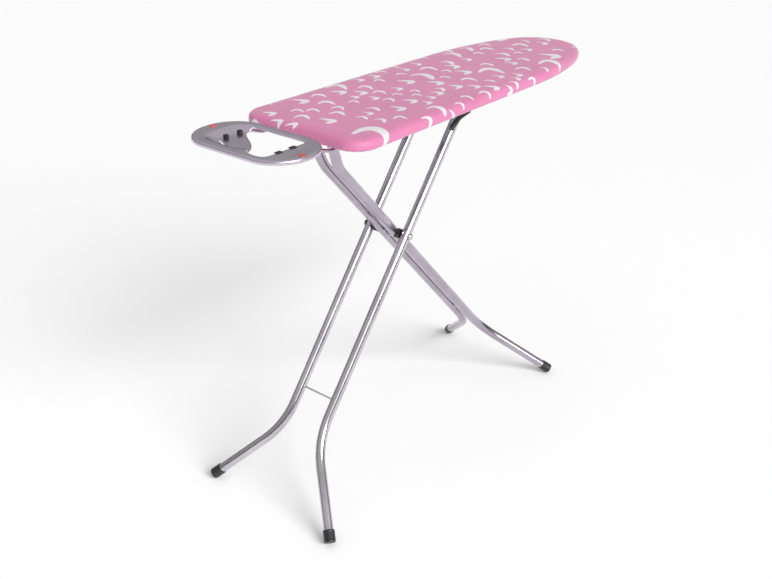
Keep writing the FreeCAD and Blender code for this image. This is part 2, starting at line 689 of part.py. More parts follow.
def make_tray_rods():
    low_z = STRAP_BOTTOM - TRAY_ROD_R
    high_z = TRAY_Z - TRAY_DISH - TRAY_T - TRAY_ROD_R
    points = [
        Vector(HINGE_X + 38, TRAY_ROD_Y, low_z),
        Vector(X_END - 4, TRAY_ROD_Y, low_z),
        Vector(X_END - 48, TRAY_ROD_Y, high_z),
        Vector(X_END - 158, TRAY_ROD_Y, high_z),
    ]
    return both_sides(bent_rod(points, [30, 30], TRAY_ROD_R))


def make_tray_posts():
    """Posts that carry the near half of the tray on its rod."""
    z0 = TRAY_Z - TRAY_DISH - TRAY_T
    posts = []
    for x in (X_END - 72, X_END - 138):
        posts.append(Part.makeCylinder(6, TRAY_Z - TRAY_T - z0, Vector(x, -TRAY_ROD_Y, z0)))
    return Part.makeCompound(posts)


def rounded_block(size, round_r):
    """Block standing on the origin, its upper edges rounded."""
    block = box(-size[0] / 2, size[0] / 2, -size[1] / 2, size[1] / 2, 0, size[2])
    return block.makeFillet(round_r, edges_at(block, size[2]))


def make_tray_pads():
    """Heat-proof pads: two blocks in the dish, two clips at the opening's near edge."""
    pads = []
    for x in (X_END - 129, X_END - 89):
        pad = rounded_block(PAD_SIZE, 0.8)
        pad.translate(Vector(x, PAD_Y, TRAY_Z - TRAY_DISH))
        pads.append(pad)
    for x in (X_END - 138, X_END - 97):
        clip = rounded_block(CLIP_SIZE, 0.8)
        clip.translate(Vector(x, CLIP_Y, TRAY_Z))
        pads.append(clip)
    return Part.makeCompound(pads)


def make_tray_studs():
    studs = []
    for x, y in ((X_END - 106, 152), (X_END - 119, -135)):
        stud = Part.makeCylinder(STUD_R, STUD_H, Vector(x, y, TRAY_Z))
        studs.append(stud.makeFillet(0.7, edges_at(stud, TRAY_Z + STUD_H)))
    return Part.makeCompound(studs)


# ---- write every piece -----------------------------------------------------
def all_pieces():
    outer_tube = make_outer_tube()
    inner_tube = make_inner_tube()
    outer_foot = make_foot_cap(outer_knee(), OUTER_FOOT_DIR)
    inner_foot = make_foot_cap(inner_knee(), INNER_FOOT_DIR)
    return {
        "cover": make_cover(),
        "foam_pad": make_pad(),
        "vented_plate": make_plate(),
        "rim_frame": make_rim(),
        "cross_straps": make_straps(),
        "hinge_bracket": make_hinge_bracket(),
        "hinge_axle": make_hinge_axle(),
        "axle_clips": make_axle_clips(),
        "height_rack": make_rack(),
        "lever_ears": make_lever_ears(),
        "lever_spring": make_lever_spring(),
        "iron_tray": make_tray(),
        "tray_rods": make_tray_rods(),
        "tray_posts": make_tray_posts(),
        "tray_pads": make_tray_pads(),
        "tray_studs": make_tray_studs(),
        "lever_rod": make_lever_rod(),
        "lever_grip": make_lever_grip(),
        "lever_pawl": make_lever_pawl(),
        "inner_tube_left": inner_tube,
        "inner_tube_right": mirror_y(inner_tube),
        "inner_foot_left": inner_foot,
        "inner_foot_right": mirror_y(inner_foot),
        "inner_head_tube": make_head_tube(),
        "head_bushes": make_head_bushes(),
        "inner_spacers": make_inner_spacers(),
        "pivot_bolts": make_pivot_bolts(),
        "pivot_washers": make_pivot_washers(),
        "pivot_bushes": make_pivot_bushes(),
        "pivot_nuts": make_pivot_nuts(),
        "outer_tube_left": outer_tube,
        "outer_tube_right": mirror_y(outer_tube),
        "outer_foot_left": outer_foot,
        "outer_foot_right": mirror_y(outer_foot),
        "outer_crossbar": make_crossbar(),
        "crossbar_clips": make_crossbar_clips(),
        "outer_plugs": make_outer_plugs(),
        "outer_wire": make_outer_wire(),
    }


def main():
    os.makedirs("parts", exist_ok=True)
    for node, shape in all_pieces().items():
        shape.exportStep("parts/" + node + ".step")
        bounds = shape.BoundBox
        print(node, shape.isValid(), len(shape.Solids), round(shape.Volume), "x", round(bounds.XMin, 1),
              round(bounds.XMax, 1), "y", round(bounds.YMin, 1), round(bounds.YMax, 1), "z",
              round(bounds.ZMin, 1), round(bounds.ZMax, 1))


main()
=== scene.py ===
import json
import math

import bmesh
import bpy
import numpy as np
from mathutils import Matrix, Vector
from mathutils.geometry import delaunay_2d_cdt
from mathutils.kdtree import KDTree


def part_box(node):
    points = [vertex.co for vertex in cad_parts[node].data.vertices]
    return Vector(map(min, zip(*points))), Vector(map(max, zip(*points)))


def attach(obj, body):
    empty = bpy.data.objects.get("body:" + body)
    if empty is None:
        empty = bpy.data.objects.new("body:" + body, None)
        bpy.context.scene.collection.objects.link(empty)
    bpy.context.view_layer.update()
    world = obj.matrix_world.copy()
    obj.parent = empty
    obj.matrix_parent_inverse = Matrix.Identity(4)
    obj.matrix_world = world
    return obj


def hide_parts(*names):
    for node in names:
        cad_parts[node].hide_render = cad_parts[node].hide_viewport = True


# Looks of the folding ironing board, in metres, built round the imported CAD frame.

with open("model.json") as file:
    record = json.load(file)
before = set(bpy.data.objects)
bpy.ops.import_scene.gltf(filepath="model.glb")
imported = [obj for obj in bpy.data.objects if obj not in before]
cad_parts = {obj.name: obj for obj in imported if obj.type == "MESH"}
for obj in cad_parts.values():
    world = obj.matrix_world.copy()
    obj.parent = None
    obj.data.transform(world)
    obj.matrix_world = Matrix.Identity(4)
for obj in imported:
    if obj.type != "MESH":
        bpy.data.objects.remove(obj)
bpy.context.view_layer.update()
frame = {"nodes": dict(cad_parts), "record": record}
NODES = frame["nodes"]


# ---- materials -------------------------------------------------------------
class Shader:
    """A node material under construction: one principled surface and small helpers."""

    def __init__(self, name):
        self.material = bpy.data.materials.new(name)
        self.material.use_nodes = True
        self.tree = self.material.node_tree
        self.tree.nodes.clear()
        self.surface = self.tree.nodes.new("ShaderNodeBsdfPrincipled")
        output = self.tree.nodes.new("ShaderNodeOutputMaterial")
        self.tree.links.new(self.surface.outputs["BSDF"], output.inputs["Surface"])

    def node(self, kind, **settings):
        made = self.tree.nodes.new(kind)
        for key, value in settings.items():
            setattr(made, key, value)
        return made

    def link(self, source, target):
        if isinstance(source, (int, float, tuple, list)):
            target.default_value = source
        else:
            self.tree.links.new(source, target)

    def math(self, operation, a, b):
        made = self.node("ShaderNodeMath", operation=operation)
        self.link(a, made.inputs[0])
        self.link(b, made.inputs[1])
        return made.outputs[0]

    def scaled(self, vector, scale):
        made = self.node("ShaderNodeVectorMath", operation="SCALE")
        self.link(vector, made.inputs[0])
        self.link(scale, made.inputs["Scale"])
        return made.outputs["Vector"]

    def stretch(self, vector, factors):
        made = self.node("ShaderNodeVectorMath", operation="MULTIPLY")
        self.link(vector, made.inputs[0])
        self.link(factors, made.inputs[1])
        return made.outputs["Vector"]

    def position(self):
        return self.node("ShaderNodeTexCoord").outputs["Object"]

    def noise(self, vector, scale, detail=3.0, roughness=0.5):
        made = self.node("ShaderNodeTexNoise")
        self.link(vector, made.inputs["Vector"])
        made.inputs["Scale"].default_value = scale
        made.inputs["Detail"].default_value = detail
        made.inputs["Roughness"].default_value = roughness
        return made.outputs["Fac"]

    def span(self, value, low, high, to_low=0.0, to_high=1.0):
        made = self.node("ShaderNodeMapRange")
        for socket, item in zip(made.inputs, (value, low, high, to_low, to_high)):
            self.link(item, socket)
        return made.outputs["Result"]

    def mix(self, factor, a, b):
        made = self.node("ShaderNodeMix", data_type="RGBA")
        self.link(factor, made.inputs[0])
        self.link(a, made.inputs[6])
        self.link(b, made.inputs[7])
        return made.outputs[2]

    def bump(self, height, distance, strength=1.0):
        made = self.node("ShaderNodeBump")
        made.inputs["Strength"].default_value = strength
        made.inputs["Distance"].default_value = distance
        self.link(height, made.inputs["Height"])
        self.link(made.outputs["Normal"], self.surface.inputs["Normal"])

    def set(self, **values):
        for key, value in values.items():
            self.link(value, self.surface.inputs[key.replace("_", " ")])


def rgb(red, green, blue):
    """Linear colour from the usual 0 to 255 screen values."""
    parts = []
    for value in (red, green, blue):
        share = value / 255
        parts.append(share / 12.92 if share <= 0.04045 else ((share + 0.055) / 1.055) ** 2.4)
    return (*parts, 1.0)


def metal(name, light, dark, rough, grain, coat):
    """Drawn or pressed metal: cloudy tint, fine grain and uneven gloss between the two roughnesses."""
    s = Shader(name)
    here = s.position()
    cloud = s.noise(here, 9, 4, 0.6)
    grit = s.noise(here, grain, 5, 0.65)
    wear = s.math("ADD", grit, s.math("MULTIPLY", cloud, 0.5))
    s.set(Base_Color=s.mix(s.span(cloud, 0.3, 0.75), dark, light), Metallic=1.0)
    s.set(Roughness=s.span(wear, 0.4, 1.1, *rough))
    s.surface.inputs["Coat Weight"].default_value = coat
    s.surface.inputs["Coat Roughness"].default_value = 0.12
    s.bump(grit, 0.00002, 0.15)
    return s.material


def plastic(name, colour, roughness, texture):
    """Moulded plastic with a fine spark-eroded texture."""
    s = Shader(name)
    here = s.position()
    grain = s.noise(here, texture, 2, 0.5)
    cloud = s.noise(here, 25, 3, 0.5)
    dull = tuple(0.75 * c for c in colour[:3]) + (1.0,)
    s.set(Base_Color=s.mix(s.span(cloud, 0.3, 0.7), dull, colour))
    s.set(Roughness=s.span(cloud, 0.3, 0.7, roughness - 0.06, roughness + 0.08))
    s.bump(grain, 0.00006, 0.6)
    return s.material


METALS = {
    # slot: lighter tint, darker tint, roughness range, grains per metre, lacquer
    "bright_tube": (rgb(216, 212, 218), rgb(190, 184, 192), (0.1, 0.2), 840, 0.0),
    "satin_tube": (rgb(193, 184, 197), rgb(167, 157, 171), (0.15, 0.24), 840, 0.2),
    "tray_steel": (rgb(214, 204, 218), rgb(198, 187, 203), (0.24, 0.34), 700, 0.5),
    "sheet_steel": (rgb(190, 188, 194), rgb(165, 162, 170), (0.35, 0.5), 840, 0.0),
    "bright_steel": (rgb(215, 213, 216), rgb(190, 188, 192), (0.16, 0.3), 840, 0.0),
}
PLASTICS = {
    # slot: colour, roughness, texture bumps per metre
    "black_plastic": ((0.02, 0.019, 0.022, 1), 0.3, 900),
    "silicone": ((0.022, 0.022, 0.026, 1), 0.6, 500),
    "red_plastic": (rgb(214, 92, 84), 0.3, 900),
}
FINISH = {slot: metal(slot, *look) for slot, look in METALS.items()}
FINISH.update({slot: plastic(slot, *look) for slot, look in PLASTICS.items()})
WELD_REACH = 1e-6


def paint(piece, material):
    piece.data.materials.clear()
    piece.data.materials.append(material)


def paint_cad_nodes():
    """Give every CAD part that stays in view the finish of its material slot."""
    for entry in frame["record"]["subparts"]:
        slot = entry["material_slot"]
        if slot in FINISH:
            paint(NODES[entry["node"]], FINISH[slot])


# ---- mesh helpers ----------------------------------------------------------
def new_mesh(name, points, faces):
    mesh = bpy.data.meshes.new(name)
    mesh.from_pydata(points, [], faces)
    return mesh


def bridge(faces, first, second, count, flip=False):
    """Quads between two closed rings of vertex numbers."""
    for i in range(count):
        j = (i + 1) % count
        quad = (first + i, first + j, second + j, second + i)
        faces.append(quad[::-1] if flip else quad)


def weld(mesh):
    """Join points that coincide, drop unused points and make the faces' sides agree."""
    shape = bmesh.new()
    shape.from_mesh(mesh)
    bmesh.ops.remove_doubles(shape, verts=shape.verts, dist=WELD_REACH)
    loose = [v for v in shape.verts if not v.link_faces]
    bmesh.ops.delete(shape, geom=loose, context="VERTS")
    bmesh.ops.recalc_face_normals(shape, faces=shape.faces)
    shape.to_mesh(mesh)
    shape.free()


def link_piece(name, mesh, material, body, slot, *nodes):
    """A finished mesh as a smooth piece that rides a body and stands for some CAD nodes."""
    mesh.shade_smooth()
    piece = bpy.data.objects.new(name, mesh)
    bpy.context.scene.collection.objects.link(piece)
    paint(piece, material)
    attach(piece, body)
    if nodes:
        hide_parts(*nodes)
    return piece


def flat_tree(points):
    """Search tree over points of a plane."""
    tree = KDTree(len(points))
    for i, point in enumerate(points):
        tree.insert((*point, 0), i)
    tree.balance()
    return tree


def triangulate(points, outlines):
    """Triangles over flat points that keep the outlines: points, faces, and the outlines round each face."""
    found = delaunay_2d_cdt([Vector(p) * 1000 for p in points], [], outlines, 0, 1e-4)
    return np.array([tuple(p) for p in found[0]]) / 1000, found[2], found[5]


def level_ring(ring, height):
    return np.column_stack([ring, np.full(len(ring), height)])


# ---- board outline ---------------------------------------------------------
NOSE_RADII = (0.1265, 0.491, 0.937)
NOSE_ANGLES = (63.2, 75.9, 89.49)
CORNER_R = 0.055
HEM_WIDTH = 0.017
TOP_ROUND = 0.015
BOTTOM_ROUND = 0.006


def edge_arcs():
    """The board's edge as arcs (centre x, centre y, radius, start, end), counter-clockwise."""
    low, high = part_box("cover")
    turns = [math.radians(angle) for angle in NOSE_ANGLES]
    centre = Vector((high.x - NOSE_RADII[0], 0))
    upper = [(centre.x, centre.y, NOSE_RADII[0], 0, turns[0])]
    for i in (1, 2):
        shift = NOSE_RADII[i] - NOSE_RADII[i - 1]
        centre = centre - shift * Vector((math.cos(turns[i - 1]), math.sin(turns[i - 1])))
        upper.append((centre.x, centre.y, NOSE_RADII[i], turns[i - 1], turns[i]))
    side = centre.x * math.cos(turns[2]) + centre.y * math.sin(turns[2]) + NOSE_RADII[2]
    corner_x = low.x + CORNER_R
    corner_y = (side - CORNER_R - corner_x * math.cos(turns[2])) / math.sin(turns[2])
    upper.append((corner_x, corner_y, CORNER_R, turns[2], math.pi))
    lower = [(x, -y, radius, -end, -start) for x, y, radius, start, end in reversed(upper)]
    return upper + lower


def stations(arcs, step):
    """Even stations round a closed line of arcs joined by straights: points and outward normals."""
    points, normals = [], []
    for x, y, radius, start, end in arcs:
        for angle in np.linspace(start, end, 60):
            normals.append((math.cos(angle), math.sin(angle)))
            points.append((x + radius * normals[-1][0], y + radius * normals[-1][1]))
    points = np.array(points + points[:1])
    normals = np.array(normals + normals[:1])
    gone = np.concatenate([[0], np.cumsum(np.linalg.norm(np.diff(points, axis=0), axis=1))])
    places = np.linspace(0, gone[-1], round(gone[-1] / step), endpoint=False)
    even = [np.column_stack([np.interp(places, gone, a[:, i]) for i in (0, 1)]) for a in (points, normals)]
    return even[0], even[1] / np.linalg.norm(even[1], axis=1)[:, None]


class Edge:
    """The board's edge: even stations, outward normals, and a search tree of the top's turn line."""

    def __init__(self, step):
        self.points, self.normals = stations(edge_arcs(), step)
        self.tree = flat_tree(self.points - TOP_ROUND * self.normals)

    def moved_out(self, distance):
        return self.points + distance * self.normals


# ---- printed cover ---------------------------------------------------------
EDGE_STEP = 0.001
RING_STATIONS = 380
RING_COUNT = 22
RING_START = -0.008
GRID_STEP = 0.011
GRID_EDGE = -0.014
PINNED_WIDTH = 0.018
PUFF_FRAMES = 20
PUFF_CAP = 0.0025
PLEAT_PITCH = 0.017
PLEAT_DEPTH = 0.0011
HEM_R = 0.0017
HEM_STEP = 0.003
HEM_SIDES = 10


def stroke(start, bend, end, widths):
    """Outline of a brush stroke along a bent line, its width changing from end to end."""
    t = np.linspace(0, 1, 11)[:, None]
    start, bend, end = (np.array(p, float) for p in (start, bend, end))
    middle = (1 - t) ** 2 * start + 2 * t * (1 - t) * bend + t ** 2 * end
    along = 2 * (1 - t) * (bend - start) + 2 * t * (end - bend)
    along = along / np.linalg.norm(along, axis=1)[:, None]
    across = np.column_stack([-along[:, 1], along[:, 0]])
    half = np.interp(t[:, 0], (0, 0.35, 0.72, 1), widths)[:, None] / 2
    tip = middle[-1] + along[-1] * half[-1] * 0.8
    tail = middle[0] - along[0] * half[0] * 0.8
    return np.vstack([middle - across * half, tip, (middle + across * half)[::-1], tail])


def gull(kind, chance):
    """A generic seagull mark, one unit across, as one or two strokes."""
    lift = chance.uniform(0.8, 1.2)
    if kind == 0:
        return [stroke((-0.5, -0.25), (0.0, 0.8 * lift), (0.5, -0.45), (0.1, 0.32, 0.34, 0.1))]
    if kind == 1:
        far_wing = stroke((-0.5, 0.34), (-0.1, 0.3), (0.36, 0.12), (0.07, 0.2, 0.34, 0.4))
        near_wing = stroke((0.36, 0.12), (0.34, -0.2), (0.0, -0.5 * lift), (0.4, 0.4, 0.32, 0.08))
        return [far_wing, near_wing]
    return [stroke((-0.5, 0.05), (0.2, 0.7 * lift), (0.42, -0.5), (0.08, 0.26, 0.4, 0.2))]


# Places where the flock is thick: x, y, reach, share of large birds.
FLOCKS = (
    (-0.33, 0.08, 0.08, 0.1),
    (-0.24, -0.09, 0.09, 0.1),
    (-0.1, 0.12, 0.07, 0.5),
    (-0.09, -0.06, 0.07, 0.15),
    (0.03, -0.04, 0.08, 0.5),
    (0.12, -0.15, 0.07, 0.5),
    (0.19, 0.1, 0.07, 0.3),
    (0.3, -0.1, 0.07, 0.2),
    (0.38, 0.03, 0.08, 0.1),
    (0.52, 0.02, 0.07, 0.1),
)
FLIGHT = math.radians(-50)
FLOCK_SEED = 11
FLOCK_TRIES = 1000
LEADER = (-0.365, -0.15, 0.085)         # x, y, size of the big bird at the near corner


def turning(angle):
    """Matrix that turns rows of x and y by an angle."""
    return np.array([[math.cos(angle), math.sin(angle)], [-math.sin(angle), math.cos(angle)]])


def crowded(spot, size, place):
    """Whether a gull of this size would touch one already placed."""
    room = size + place[2]
    return abs(spot[0] - place[0]) < 0.6 * room and abs(spot[1] - place[1]) < 0.55 * room


def flock_marks():
    """Gull marks scattered over the flat cloth: outlines in metres, none overlapping another."""
    chance = np.random.default_rng(FLOCK_SEED)
    turn = turning(FLIGHT)
    x, y, size = LEADER
    places = [(*(turn @ (x, y)), size)]
    marks = [(shape * size) @ turn + (x, y) for shape in gull(0, chance)]
    for _ in range(FLOCK_TRIES):
        x, y, reach, large = FLOCKS[chance.integers(len(FLOCKS))]
        spot = np.array([x, y]) + chance.normal(0, reach, 2)
        size = chance.uniform(0.048, 0.064) if chance.random() < large else chance.uniform(0.024, 0.044)
        kind = chance.choice(3, p=(0.5, 0.32, 0.18))
        tilt = chance.normal(0, 0.16)
        shapes = gull(kind, chance)
        local = turn @ spot
        if any(crowded(local, size, place) for place in places):
            continue
        places.append((local[0], local[1], size))
        spin = turning(tilt)
        marks += [(shape * size) @ spin @ turn + spot for shape in shapes]
    return marks


def cloth_run(t):
    """Inset from the edge and height of the cloth, t metres on from where the top starts to turn."""
    low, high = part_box("cover")
    side = high.z - low.z - TOP_ROUND - BOTTOM_ROUND
    lengths = np.cumsum([TOP_ROUND * math.pi / 2, side, BOTTOM_ROUND * math.pi / 2])
    top = np.clip(t / TOP_ROUND, 0, math.pi / 2)
    under = np.clip((t - lengths[1]) / BOTTOM_ROUND, 0, math.pi / 2)
    inset = TOP_ROUND * (1 - np.sin(top)) + BOTTOM_ROUND * (1 - np.cos(under))
    inset += np.maximum(t - lengths[2], 0)
    height = high.z - TOP_ROUND * (1 - np.cos(top)) - np.clip(t - lengths[0], 0, side)
    return inset, height - BOTTOM_ROUND * np.sin(under)


def cloth_reach():
    low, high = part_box("cover")
    side = high.z - low.z - TOP_ROUND - BOTTOM_ROUND
    return (TOP_ROUND + BOTTOM_ROUND) * math.pi / 2 + side + HEM_WIDTH - BOTTOM_ROUND


def wrap_cloth(flat, edge):
    """Place points of the flat cloth on the board.

    Gives the 3-D points, how far each is past the top's turn line, and its nearest station.
    """
    nearest = np.array([edge.tree.find((*point, 0))[1] for point in flat])
    normals = edge.normals[nearest]
    away = flat - (edge.points - TOP_ROUND * edge.normals)[nearest]
    past = (away * normals).sum(axis=1)
    tangent = np.column_stack([-normals[:, 1], normals[:, 0]])
    slip = (away * tangent).sum(axis=1)[:, None] * tangent
    inset, height = cloth_run(np.maximum(past, 0))
    placed = edge.points[nearest] - inset[:, None] * normals + slip
    inside = past <= 0
    placed[inside] = flat[inside]
    return np.column_stack([placed, height]), past, nearest


def flat_points(edge):
    """Points of the flat cloth: staggered rings along the edge, and an even spread over the top."""
    every = len(edge.points) // RING_STATIONS
    rings = []
    for k, past in enumerate(np.linspace(RING_START, cloth_reach(), RING_COUNT)):
        rings.append(edge.moved_out(past - TOP_ROUND)[k % 2 * every // 2::every])
    low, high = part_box("cover")
    grid = []
    for j, y in enumerate(np.arange(low.y, high.y, GRID_STEP * 0.866)):
        grid += [(x, y) for x in np.arange(low.x + GRID_STEP / 2 * (j % 2), high.x, GRID_STEP)]
    grid = np.array(grid)
    _, past, _ = wrap_cloth(grid, edge)
    return np.vstack([*rings, grid[past < GRID_EDGE]])


def puff_up(points, faces, pinned):
    """Cloth simulation of the padded cover: air pressure swells it while the hem stays put."""
    trial = bpy.data.objects.new("cover_trial", new_mesh("cover_trial", points, faces))
    bpy.context.scene.collection.objects.link(trial)
    group = trial.vertex_groups.new(name="hem")
    group.add([int(i) for i in np.nonzero(pinned)[0]], 1.0, "REPLACE")
    cloth = trial.modifiers.new("cloth", "CLOTH")
    cloth.settings.quality = 5
    cloth.settings.mass = 0.3
    cloth.settings.tension_stiffness = 20
    cloth.settings.compression_stiffness = 20
    cloth.settings.bending_stiffness = 2
    cloth.settings.vertex_group_mass = "hem"
    cloth.settings.use_pressure = True
    cloth.settings.uniform_pressure_force = 4
    cloth.settings.effector_weights.gravity = 0
    for moment in range(1, PUFF_FRAMES + 1):
        bpy.context.scene.frame_set(moment)
    settled = trial.evaluated_get(bpy.context.evaluated_depsgraph_get())
    moved = np.zeros(len(points) * 3)
    settled.data.vertices.foreach_get("co", moved)
    bpy.data.objects.remove(trial)
    bpy.context.scene.frame_set(1)
    shift = moved.reshape(-1, 3) - points
    length = np.linalg.norm(shift, axis=1)[:, None] + 1e-9
    return shift * (PUFF_CAP * np.tanh(length / PUFF_CAP) / length)


def outward_only(shift, past, normals):
    """The part of each shift that lifts the cloth off the foam, so that none of it sinks in."""
    turn = np.clip(past / TOP_ROUND, 0, math.pi / 2)
    facing = np.column_stack([normals * np.sin(turn)[:, None], np.cos(turn)])
    return np.maximum((shift * facing).sum(axis=1), 0)[:, None] * facing


def swelling(flat, edge):
    """Points of the flat cloth, and how far the air under it lifts each of them."""
    known, faces, _ = triangulate(flat, [])
    placed, past, nearest = wrap_cloth(known, edge)
    shift = puff_up(placed, faces, past > cloth_reach() - PINNED_WIDTH)
    return known, outward_only(shift, past, edge.normals[nearest])


def spread(known, values, wanted):
    """Carry a smooth field from known flat points to others near them."""
    tree = flat_tree(known)
    result = np.zeros((len(wanted), 3))
    for i, point in enumerate(wanted):
        near = tree.find_n((*point, 0), 4)
        weights = np.array([1 / (distance + 1e-6) for _, _, distance in near])
        result[i] = weights @ values[[index for _, index, _ in near]] / weights.sum()
    return result


def puckers(along):
    """Uneven wave of the gathered cloth, -1 to 1, at distances along the edge."""
    return np.sin(along * 2 * math.pi / PLEAT_PITCH + 1.7 * np.sin(along * 9) + 1.1 * np.sin(along * 23))


def gathers(past, nearest):
    """Small pleats where the elastic draws the cloth in under the rim."""
    start = cloth_reach() - HEM_WIDTH - 0.004
    depth = np.clip((past - start) / 0.012, 0, 1) ** 2 * PLEAT_DEPTH
    shift = np.zeros((len(past), 3))
    shift[:, 2] = depth * (1 + puckers(nearest * EDGE_STEP))
    return shift


def add_prints(flat, edge):
    """Cloth points with the gulls' outlines added, and each outline as point numbers."""
    corners = [tuple(p) for p in flat]
    outlines = []
    for mark in flock_marks():
        _, past, _ = wrap_cloth(mark, edge)
        if past.max() < cloth_reach() - 0.001:
            outlines.append(list(range(len(corners), len(corners) + len(mark))))
            corners += [tuple(p) for p in mark]
    return corners, outlines


def cover_mesh(edge):
    """Mesh of the wrapped cover, its printed faces marked and its flat weave as a UV layer."""
    flat = flat_points(edge)
    known, lift = swelling(flat, edge)
    cloth, faces, prints = triangulate(*add_prints(flat, edge))
    placed, past, nearest = wrap_cloth(cloth, edge)
    mesh = new_mesh("printed_cover", placed + spread(known, lift, cloth) + gathers(past, nearest), faces)
    printed = mesh.attributes.new("printed", "FLOAT", "FACE")
    printed.data.foreach_set("value", [1.0 if marks else 0.0 for marks in prints])
    weave = mesh.uv_layers.new(name="weave")
    for loop in mesh.loops:
        weave.data[loop.index].uv = cloth[loop.vertex_index]
    return mesh


def make_cover():
    """Cotton cover wrapped over the pad, printed with gulls and gathered under the rim."""
    edge = Edge(EDGE_STEP)
    cover = link_piece("printed_cover", cover_mesh(edge), cotton(), "board", "printed_cover", "cover")
    hem = make_hem()


def make_hem():
    """Elastic in its narrow casing, puckered, along the cover's free edge under the rim."""
    edge = Edge(HEM_STEP)
    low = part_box("cover")[0]
    count = len(edge.points)
    radii = HEM_R * (1 + 0.16 * puckers(np.arange(count) * HEM_STEP))
    line = level_ring(edge.moved_out(-HEM_WIDTH), low.z - HEM_R / 2)
    across = level_ring(edge.normals, 0.0)
    points = []
    for middle, out, radius in zip(line, across, radii):
        for angle in np.linspace(0, 2 * math.pi, HEM_SIDES, endpoint=False):
            points.append(middle + radius * (math.cos(angle) * out + math.sin(angle) * np.array((0, 0, 1))))
    faces = []
    for i in range(count):
        bridge(faces, i * HEM_SIDES, (i + 1) % count * HEM_SIDES, HEM_SIDES, flip=True)
    mesh = new_mesh("cover_hem", points, faces)
    return link_piece("cover_hem", mesh, hem_cotton(), "board", "printed_cover")


def cotton():
    """Printed cotton: pink ground, off-white gulls, plain weave with a soft nap."""
    s = Shader("printed_cotton")
    weave = s.node("ShaderNodeUVMap", uv_map="weave").outputs["UV"]
    warp = s.noise(s.stretch(weave, (2600, 260, 1)), 1.0, 2, 0.6)
    weft = s.noise(s.stretch(weave, (260, 2600, 1)), 1.0, 2, 0.6)
    thread = s.math("ADD", warp, weft)
    cloud = s.noise(weave, 7, 4, 0.6)
    fade = s.span(cloud, 0.3, 0.7, 0.94, 1.05)
    ground = s.mix(s.span(thread, 0.7, 1.3), rgb(198, 108, 152), rgb(212, 129, 170))
    ink = s.mix(s.span(thread, 0.7, 1.3), rgb(218, 211, 215), rgb(231, 226, 229))
    marks = s.node("ShaderNodeAttribute", attribute_name="printed").outputs["Fac"]
    colour = s.mix(marks, ground, ink)
    s.set(Base_Color=s.scaled(colour, fade), Roughness=s.span(thread, 0.6, 1.4, 0.46, 0.6))
    s.surface.inputs["Sheen Weight"].default_value = 0.4
    s.surface.inputs["Sheen Roughness"].default_value = 0.4
    s.surface.inputs["Specular IOR Level"].default_value = 0.6
    s.bump(thread, 0.0002, 0.5)
    return s.material


def hem_cotton():
    """The cover's pink cotton, puckered round the elastic."""
    s = Shader("hem_cotton")
    here = s.position()
    thread = s.noise(here, 1400, 2, 0.6)
    cloud = s.noise(here, 30, 3, 0.6)
    s.set(Base_Color=s.mix(s.span(cloud, 0.3, 0.7), rgb(190, 104, 148), rgb(214, 132, 174)))
    s.set(Roughness=s.span(thread, 0.3, 0.7, 0.8, 0.94))
    s.surface.inputs["Sheen Weight"].default_value = 0.4
    s.bump(thread, 0.0003, 0.6)
    return s.material


# ---- foam pad --------------------------------------------------------------
FOAM_STEP = 0.006
FOAM_RINGS = 9
CLOTH_ROOM = 0.0013


def make_foam():
    """Foam core, its upper edge rounded to carry the cover."""
    low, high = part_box("foam_pad")
    edge = Edge(FOAM_STEP)
    radius = TOP_ROUND - CLOTH_ROOM
    rings = []
    for z in np.linspace(low.z, high.z, FOAM_RINGS):
        drop = z - high.z + radius
        inset = TOP_ROUND - math.sqrt(max(radius ** 2 - drop ** 2, 0))
        rings.append(level_ring(edge.moved_out(-inset), z))
    count = len(edge.points)
    last = FOAM_RINGS - 1
    faces = [tuple(range(count))[::-1], tuple(range(last * count, FOAM_RINGS * count))]
    for k in range(last):
        bridge(faces, k * count, (k + 1) * count, count)
    mesh = new_mesh("foam_core", np.vstack(rings), faces)
    foam = link_piece("foam_core", mesh, open_foam(), "board", "foam", "foam_pad")


def open_foam():
    """Cream polyurethane foam with open cells."""
    s = Shader("open_foam")
    here = s.position()
    cells = s.node("ShaderNodeTexVoronoi")
    s.link(here, cells.inputs["Vector"])
    cells.inputs["Scale"].default_value = 900
    cloud = s.noise(here, 20, 3)
    s.set(Base_Color=s.mix(cloud, rgb(226, 214, 188), rgb(240, 232, 212)))
    s.set(Roughness=s.span(cloud, 0, 1, 0.85, 0.98))
    s.bump(cells.outputs["Distance"], 0.0006, 0.8)
    return s.material


# ---- iron rest -------------------------------------------------------------
TRAY_CORNER_R = 0.084
TRAY_SHEET = 0.0012
TRAY_STEP = 0.004
TRAY_GRID = 0.0042
TRAY_CLEARANCE = 0.0025
TRAY_BEAD = 0.0011
OPENING_STATIONS = 220
TRAY_ROLL = 0.0045
LIP_ROLL = 0.0025
LIP_DROP = 0.0045
DISH_DEPTH = 0.008
DISH_TOP = (-0.626, -0.500, -0.024, 0.128, 0.038)
DISH_FLOOR = (-0.618, -0.504, -0.017, 0.090, 0.026)
OPENING = (
    (-0.499, -0.068), (-0.499, 0.0), (-0.499, 0.076), (-0.503, 0.081), (-0.511, 0.082), (-0.522, 0.081),
    (-0.538, 0.064), (-0.556, 0.037), (-0.576, 0.009), (-0.596, -0.009), (-0.620, -0.023),
    (-0.629, -0.05), (-0.629, -0.068), (-0.6243, -0.0793), (-0.613, -0.084), (-0.565, -0.084),
    (-0.515, -0.084), (-0.5037, -0.0793),
)
SLIT = (-0.606, 0.066, 0.004, 0.042, -24)


